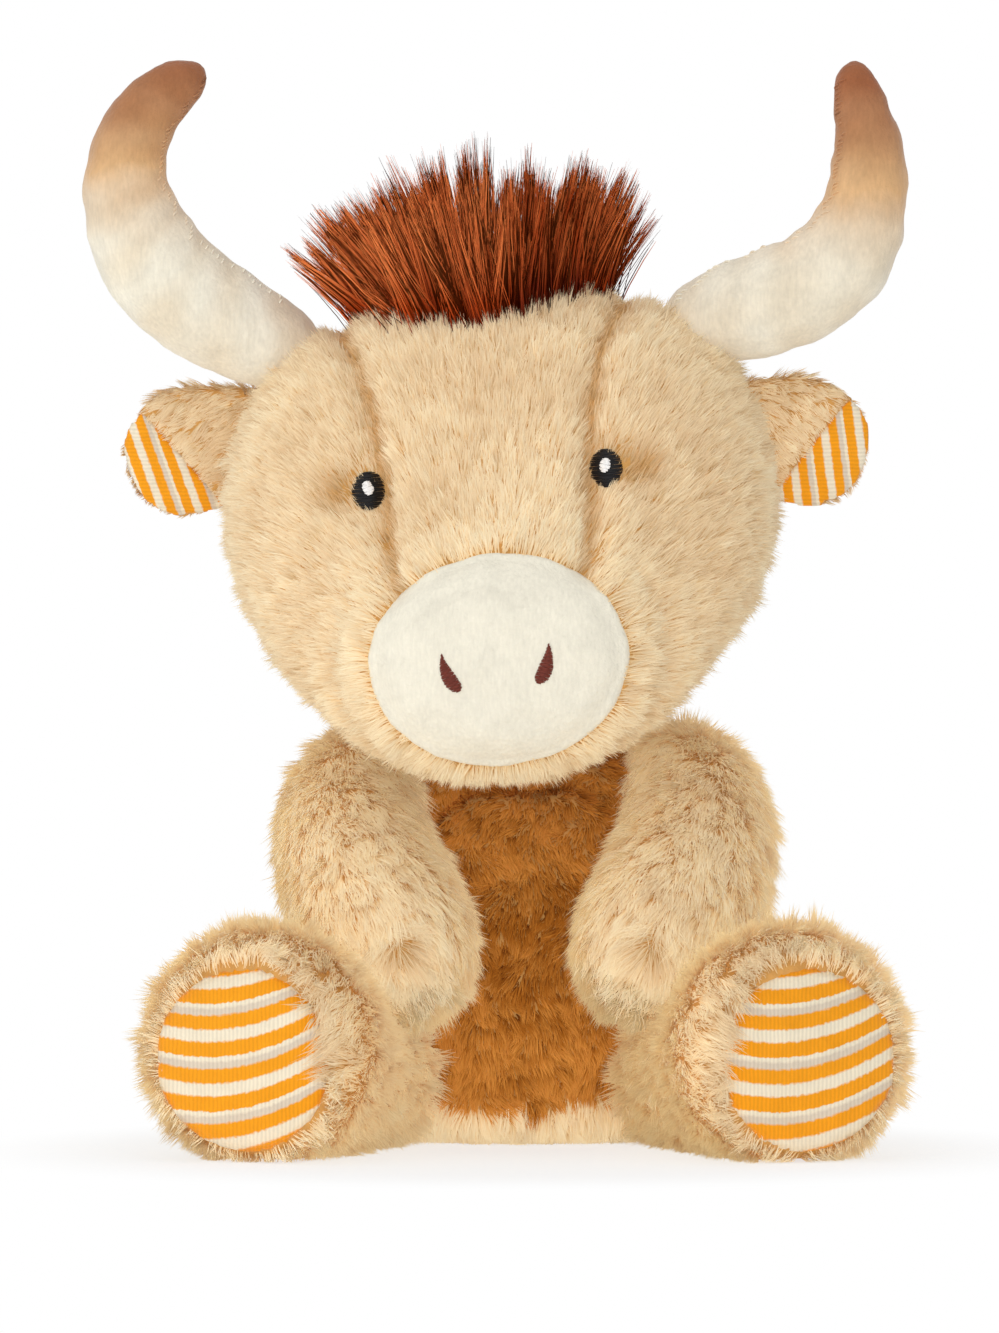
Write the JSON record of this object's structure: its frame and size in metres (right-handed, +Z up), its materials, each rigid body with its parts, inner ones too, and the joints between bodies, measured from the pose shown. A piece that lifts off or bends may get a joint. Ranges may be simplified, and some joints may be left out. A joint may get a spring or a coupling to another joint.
{
  "type": "plush cow",
  "caption": "Seated plush cow with stuffed curved horns, a brush of stiff hair on the crown, striped ear linings and foot pads, and a weighted seat.",
  "frame": {"origin": "middle of the flat underside of the base panel, on the surface that the toy sits on", "axes": "+Z up along the torso, -Y the way the toy faces, +X to the right of a viewer in front of it"},
  "size_m": [0.2277, 0.2083, 0.298],
  "materials": {
    "tan_pile": "long soft pile",
    "brown_pile": "curly pile",
    "cream_velboa": "short even pile",
    "striped_velboa": "short even pile, printed stripes",
    "rust_hair": "straight glossy synthetic hair",
    "black_thread": "satin stitch",
    "white_thread": "satin stitch",
    "brown_thread": "satin stitch",
    "fibre_filling": "loose polyester fibre",
    "pellet_cloth": "plain weave bag of pellets"
  },
  "bodies": {
    "torso": {"body_skin": "tan_pile", "tummy_panel": "brown_pile", "base_panel": "tan_pile", "body_stuffing": "fibre_filling", "pellet_bag": "pellet_cloth"},
    "neck": {"neck_stuffing": "fibre_filling"},
    "head": {"head_side_left": "tan_pile", "head_side_right": "tan_pile", "face_gusset": "tan_pile", "muzzle_patch": "cream_velboa", "head_stuffing": "fibre_filling", "nostril_left": "brown_thread", "nostril_right": "brown_thread", "eye_left": "black_thread", "eye_right": "black_thread", "eye_glint_left": "white_thread", "eye_glint_right": "white_thread", "horn_left": "cream_velboa", "horn_right": "cream_velboa", "horn_stuffing_left": "fibre_filling", "horn_stuffing_right": "fibre_filling", "hair_tuft": "rust_hair"},
    "ear_left": {"ear_back_left": "tan_pile", "ear_lining_left": "striped_velboa"},
    "ear_right": {"ear_back_right": "tan_pile", "ear_lining_right": "striped_velboa"},
    "arm_left": {"arm_skin_left": "tan_pile", "arm_stuffing_left": "fibre_filling"},
    "arm_right": {"arm_skin_right": "tan_pile", "arm_stuffing_right": "fibre_filling"},
    "leg_left": {"leg_skin_left": "tan_pile", "leg_stuffing_left": "fibre_filling", "foot_pad_left": "striped_velboa"},
    "leg_right": {"leg_skin_right": "tan_pile", "leg_stuffing_right": "fibre_filling", "foot_pad_right": "striped_velboa"},
    "tail": {"tail": "tan_pile", "tail_tuft": "rust_hair"}
  },
  "joints": [
    {"name": "head_turn", "type": "hinge", "parent": "torso", "child": "neck", "pos_m": [0, 0.003, 0.1105], "axis": [0, 0, 1], "range_deg": [-10, 10], "stiffness_Nm_per_rad": 0.8},
    {"name": "head_nod", "type": "hinge", "parent": "neck", "child": "head", "pos_m": [0, 0.003, 0.1105], "axis": [1, 0, 0], "range_deg": [-14, 0], "stiffness_Nm_per_rad": 1.5},
    {"name": "ear_flap_left", "type": "hinge", "parent": "head", "child": "ear_left", "pos_m": [-0.07884, 0.01183, 0.19408], "axis": [-0.3332, 0.0204, 0.9426], "range_deg": [-8, 25], "stiffness_Nm_per_rad": 0.02},
    {"name": "ear_flap_right", "type": "hinge", "parent": "head", "child": "ear_right", "pos_m": [0.06285, 0.00316, 0.19603], "axis": [-0.2835, 0.0173, -0.9588], "range_deg": [-8, 25], "stiffness_Nm_per_rad": 0.02},
    {"name": "arm_lift_left", "type": "hinge", "parent": "torso", "child": "arm_left", "pos_m": [-0.048, -0.008, 0.097], "axis": [-0.8602, 0.1, -0.5001], "range_deg": [0, 22], "stiffness_Nm_per_rad": 0.08},
    {"name": "arm_lift_right", "type": "hinge", "parent": "torso", "child": "arm_right", "pos_m": [0.048, -0.008, 0.097], "axis": [-0.8602, -0.1, 0.5001], "range_deg": [0, 22], "stiffness_Nm_per_rad": 0.08},
    {"name": "leg_splay_left", "type": "hinge", "parent": "torso", "child": "leg_left", "pos_m": [-0.04224, -0.02934, 0.02161], "axis": [0, 0, -1], "range_deg": [0, 24], "stiffness_Nm_per_rad": 0.3},
    {"name": "leg_splay_right", "type": "hinge", "parent": "torso", "child": "leg_right", "pos_m": [0.04224, -0.02934, 0.02161], "axis": [0, 0, 1], "range_deg": [0, 24], "stiffness_Nm_per_rad": 0.3},
    {"name": "tail_lift", "type": "hinge", "parent": "torso", "child": "tail", "pos_m": [0, 0.057, 0.058], "axis": [1, 0, 0], "range_deg": [0, 40], "stiffness_Nm_per_rad": 0.01}
  ]
}
